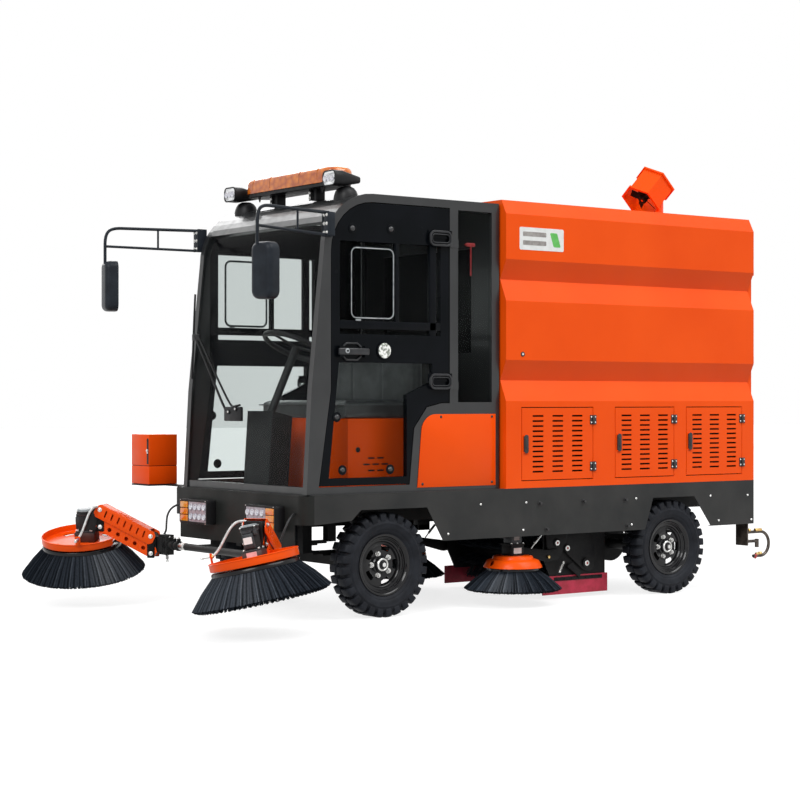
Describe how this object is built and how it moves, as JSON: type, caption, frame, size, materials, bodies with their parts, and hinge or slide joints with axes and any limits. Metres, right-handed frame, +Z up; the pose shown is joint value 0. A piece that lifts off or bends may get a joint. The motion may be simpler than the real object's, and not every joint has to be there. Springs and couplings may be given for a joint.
{
  "type": "street sweeper truck",
  "caption": "Compact ride-on street sweeper truck with a glazed cab, a hopper body with vent doors, and turning front, middle and roller brushes.",
  "frame": {"origin": "on the ground under the middle of the whole machine", "axes": "+X ahead, +Y to the left of the driver, +Z up"},
  "size_m": [4.415, 2.6356, 2.644],
  "materials": {
    "orange_paint": "satin",
    "black_paint": "satin",
    "frame_black": "matte",
    "tyre_rubber": "matte",
    "rim_black": "gloss",
    "window_glass": "clear",
    "brush_bristle": "matte",
    "seat_fabric": "matte",
    "console_plastic": "matte",
    "lamp_amber": "gloss",
    "red_flap": "matte",
    "pipe_steel": "satin",
    "battery_case": "matte",
    "axle_paint": "matte",
    "mirror_black": "satin"
  },
  "bodies": {
    "chassis": {"chassis_frame": "black_paint", "axles": "axle_paint", "side_skirts": "black_paint", "front_panel": "black_paint", "cab_frame": "frame_black", "cab_roof": "frame_black", "cab_glass": "window_glass", "cab_side_panels": "orange_paint", "cab_interior": "console_plastic", "seat_box": "orange_paint", "seat": "seat_fabric", "body_shell": "orange_paint", "battery_pack": "battery_case", "mirrors": "mirror_black", "lamps": "lamp_amber", "utility_box": "orange_paint", "exhaust_cowl": "orange_paint", "mid_brush_heads": "orange_paint", "roller_chamber": "black_paint", "side_flaps": "red_flap", "rear_pipes": "pipe_steel"},
    "roller_brush": {"roller_brush": "brush_bristle"},
    "cowl_fan": {"cowl_fan": "black_paint"},
    "knuckle_left": {"knuckle_left": "axle_paint"},
    "wheel_front_left": {"tyre_front_left": "tyre_rubber", "rim_front_left": "rim_black"},
    "wheel_rear_left": {"tyre_rear_left": "tyre_rubber", "rim_rear_left": "rim_black"},
    "cab_door_left": {"cab_door_left": "frame_black", "door_glass_left": "window_glass"},
    "vent_door_front_left": {"vent_door_front_left": "orange_paint"},
    "vent_door_middle_left": {"vent_door_middle_left": "orange_paint"},
    "vent_door_rear_left": {"vent_door_rear_left": "orange_paint"},
    "rear_door_left": {"rear_door_left": "orange_paint"},
    "mid_brush_left": {"mid_brush_left": "brush_bristle"},
    "swing_bracket_left": {"swing_bracket_left": "black_paint"},
    "upper_link_left": {"upper_link_left": "orange_paint"},
    "lower_link_left": {"lower_link_left": "orange_paint"},
    "brush_head_left": {"brush_head_left": "black_paint", "brush_dish_left": "orange_paint"},
    "side_brush_left": {"side_brush_left": "brush_bristle"},
    "knuckle_right": {"knuckle_right": "axle_paint"},
    "wheel_front_right": {"tyre_front_right": "tyre_rubber", "rim_front_right": "rim_black"},
    "wheel_rear_right": {"tyre_rear_right": "tyre_rubber", "rim_rear_right": "rim_black"},
    "cab_door_right": {"cab_door_right": "frame_black", "door_glass_right": "window_glass"},
    "vent_door_front_right": {"vent_door_front_right": "orange_paint"},
    "vent_door_middle_right": {"vent_door_middle_right": "orange_paint"},
    "vent_door_rear_right": {"vent_door_rear_right": "orange_paint"},
    "rear_door_right": {"rear_door_right": "orange_paint"},
    "mid_brush_right": {"mid_brush_right": "brush_bristle"},
    "swing_bracket_right": {"swing_bracket_right": "black_paint"},
    "upper_link_right": {"upper_link_right": "orange_paint"},
    "lower_link_right": {"lower_link_right": "orange_paint"},
    "brush_head_right": {"brush_head_right": "black_paint", "brush_dish_right": "orange_paint"},
    "side_brush_right": {"side_brush_right": "brush_bristle"}
  },
  "joints": [
    {"name": "steer_left", "type": "hinge", "parent": "chassis", "child": "knuckle_left", "pos_m": [0.854, 0.52, 0.285], "axis": [0, 0, 1], "range_deg": [-30, 30]},
    {"name": "spin_front_left", "type": "hinge", "parent": "knuckle_left", "child": "wheel_front_left", "pos_m": [0.854, 0.596, 0.285], "axis": [0, 1, 0], "continuous": true},
    {"name": "spin_rear_left", "type": "hinge", "parent": "chassis", "child": "wheel_rear_left", "pos_m": [-1.289, 0.596, 0.285], "axis": [0, 1, 0], "continuous": true},
    {"name": "cab_door_left_hinge", "type": "hinge", "parent": "chassis", "child": "cab_door_left", "pos_m": [0.4055, 0.654, 2.071], "axis": [0, 0, 1], "range_deg": [0, 80]},
    {"name": "vent_door_front_left_hinge", "type": "hinge", "parent": "chassis", "child": "vent_door_front_left", "pos_m": [-0.62449, 0.6975, 1.063], "axis": [0, 0, 1], "range_deg": [0, 95]},
    {"name": "vent_door_middle_left_hinge", "type": "hinge", "parent": "chassis", "child": "vent_door_middle_left", "pos_m": [-1.28551, 0.6975, 1.063], "axis": [0, 0, 1], "range_deg": [0, 95]},
    {"name": "vent_door_rear_left_hinge", "type": "hinge", "parent": "chassis", "child": "vent_door_rear_left", "pos_m": [-1.87647, 0.6975, 1.063], "axis": [0, 0, 1], "range_deg": [0, 95]},
    {"name": "rear_door_left_hinge", "type": "hinge", "parent": "chassis", "child": "rear_door_left", "pos_m": [-1.9923, 0.6515, 1.45], "axis": [0, 0, -1], "range_deg": [0, 110]},
    {"name": "mid_brush_left_spin", "type": "hinge", "parent": "chassis", "child": "mid_brush_left", "pos_m": [-0.131, 0.55, 0.215], "axis": [0, 0, 1], "continuous": true},
    {"name": "swing_left", "type": "hinge", "parent": "chassis", "child": "swing_bracket_left", "pos_m": [1.522, 0.569, 0.352], "axis": [0, 0, 1], "range_deg": [-15, 20]},
    {"name": "lift_left", "type": "hinge", "parent": "swing_bracket_left", "child": "upper_link_left", "pos_m": [1.57235, 0.61763, 0.401], "axis": [0.6947, -0.7193, 0], "range_deg": [-10, 2]},
    {"name": "lower_link_left_pivot", "type": "hinge", "parent": "swing_bracket_left", "child": "lower_link_left", "pos_m": [1.57235, 0.61763, 0.303], "axis": [0.6947, -0.7193, 0], "range_deg": [-10, 2]},
    {"name": "head_level_left", "type": "hinge", "parent": "upper_link_left", "child": "brush_head_left", "pos_m": [1.78672, 0.82463, 0.55], "axis": [0.6947, -0.7193, 0], "range_deg": [-2, 10]},
    {"name": "side_brush_left_spin", "type": "hinge", "parent": "brush_head_left", "child": "side_brush_left", "pos_m": [1.86227, 0.9393, 0.364], "axis": [0.147, -0.147, 0.9781], "continuous": true},
    {"name": "steer_right", "type": "hinge", "parent": "chassis", "child": "knuckle_right", "pos_m": [0.854, -0.52, 0.285], "axis": [0, 0, 1], "range_deg": [-30, 30]},
    {"name": "spin_front_right", "type": "hinge", "parent": "knuckle_right", "child": "wheel_front_right", "pos_m": [0.854, -0.596, 0.285], "axis": [0, 1, 0], "continuous": true},
    {"name": "spin_rear_right", "type": "hinge", "parent": "chassis", "child": "wheel_rear_right", "pos_m": [-1.289, -0.596, 0.285], "axis": [0, 1, 0], "continuous": true},
    {"name": "cab_door_right_hinge", "type": "hinge", "parent": "chassis", "child": "cab_door_right", "pos_m": [0.4055, -0.654, 2.071], "axis": [0, 0, -1], "range_deg": [0, 80]},
    {"name": "vent_door_front_right_hinge", "type": "hinge", "parent": "chassis", "child": "vent_door_front_right", "pos_m": [-0.62449, -0.6975, 1.063], "axis": [0, 0, -1], "range_deg": [0, 95]},
    {"name": "vent_door_middle_right_hinge", "type": "hinge", "parent": "chassis", "child": "vent_door_middle_right", "pos_m": [-1.28551, -0.6975, 1.063], "axis": [0, 0, -1], "range_deg": [0, 95]},
    {"name": "vent_door_rear_right_hinge", "type": "hinge", "parent": "chassis", "child": "vent_door_rear_right", "pos_m": [-1.87647, -0.6975, 1.063], "axis": [0, 0, -1], "range_deg": [0, 95]},
    {"name": "rear_door_right_hinge", "type": "hinge", "parent": "chassis", "child": "rear_door_right", "pos_m": [-1.9923, -0.6515, 1.45], "axis": [0, 0, 1], "range_deg": [0, 110]},
    {"name": "mid_brush_right_spin", "type": "hinge", "parent": "chassis", "child": "mid_brush_right", "pos_m": [-0.131, -0.55, 0.215], "axis": [0, 0, 1], "continuous": true},
    {"name": "swing_right", "type": "hinge", "parent": "chassis", "child": "swing_bracket_right", "pos_m": [1.522, -0.569, 0.352], "axis": [0, 0, -1], "range_deg": [-15, 20]},
    {"name": "lift_right", "type": "hinge", "parent": "swing_bracket_right", "child": "upper_link_right", "pos_m": [1.57235, -0.61763, 0.401], "axis": [-0.6947, -0.7193, 0], "range_deg": [-10, 2]},
    {"name": "lower_link_right_pivot", "type": "hinge", "parent": "swing_bracket_right", "child": "lower_link_right", "pos_m": [1.57235, -0.61763, 0.303], "axis": [-0.6947, -0.7193, 0], "range_deg": [-10, 2]},
    {"name": "head_level_right", "type": "hinge", "parent": "upper_link_right", "child": "brush_head_right", "pos_m": [1.78672, -0.82463, 0.55], "axis": [-0.6947, -0.7193, 0], "range_deg": [-2, 10]},
    {"name": "side_brush_right_spin", "type": "hinge", "parent": "brush_head_right", "child": "side_brush_right", "pos_m": [1.86227, -0.9393, 0.364], "axis": [0.147, 0.147, 0.9781], "continuous": true},
    {"name": "roller_spin", "type": "hinge", "parent": "chassis", "child": "roller_brush", "pos_m": [-0.69, 0, 0.228], "axis": [0, 1, 0], "continuous": true},
    {"name": "cowl_fan_spin", "type": "hinge", "parent": "chassis", "child": "cowl_fan", "pos_m": [-1.446, 0.3, 2.48], "axis": [-0.7071, 0, 0.7071], "continuous": true}
  ],
  "couplings": [
    {"joint": "lower_link_left_pivot", "follows": "lift_left", "ratio": 1},
    {"joint": "head_level_left", "follows": "lift_left", "ratio": -1},
    {"joint": "lower_link_right_pivot", "follows": "lift_right", "ratio": 1},
    {"joint": "head_level_right", "follows": "lift_right", "ratio": -1},
    {"joint": "steer_right", "follows": "steer_left", "ratio": 1}
  ]
}
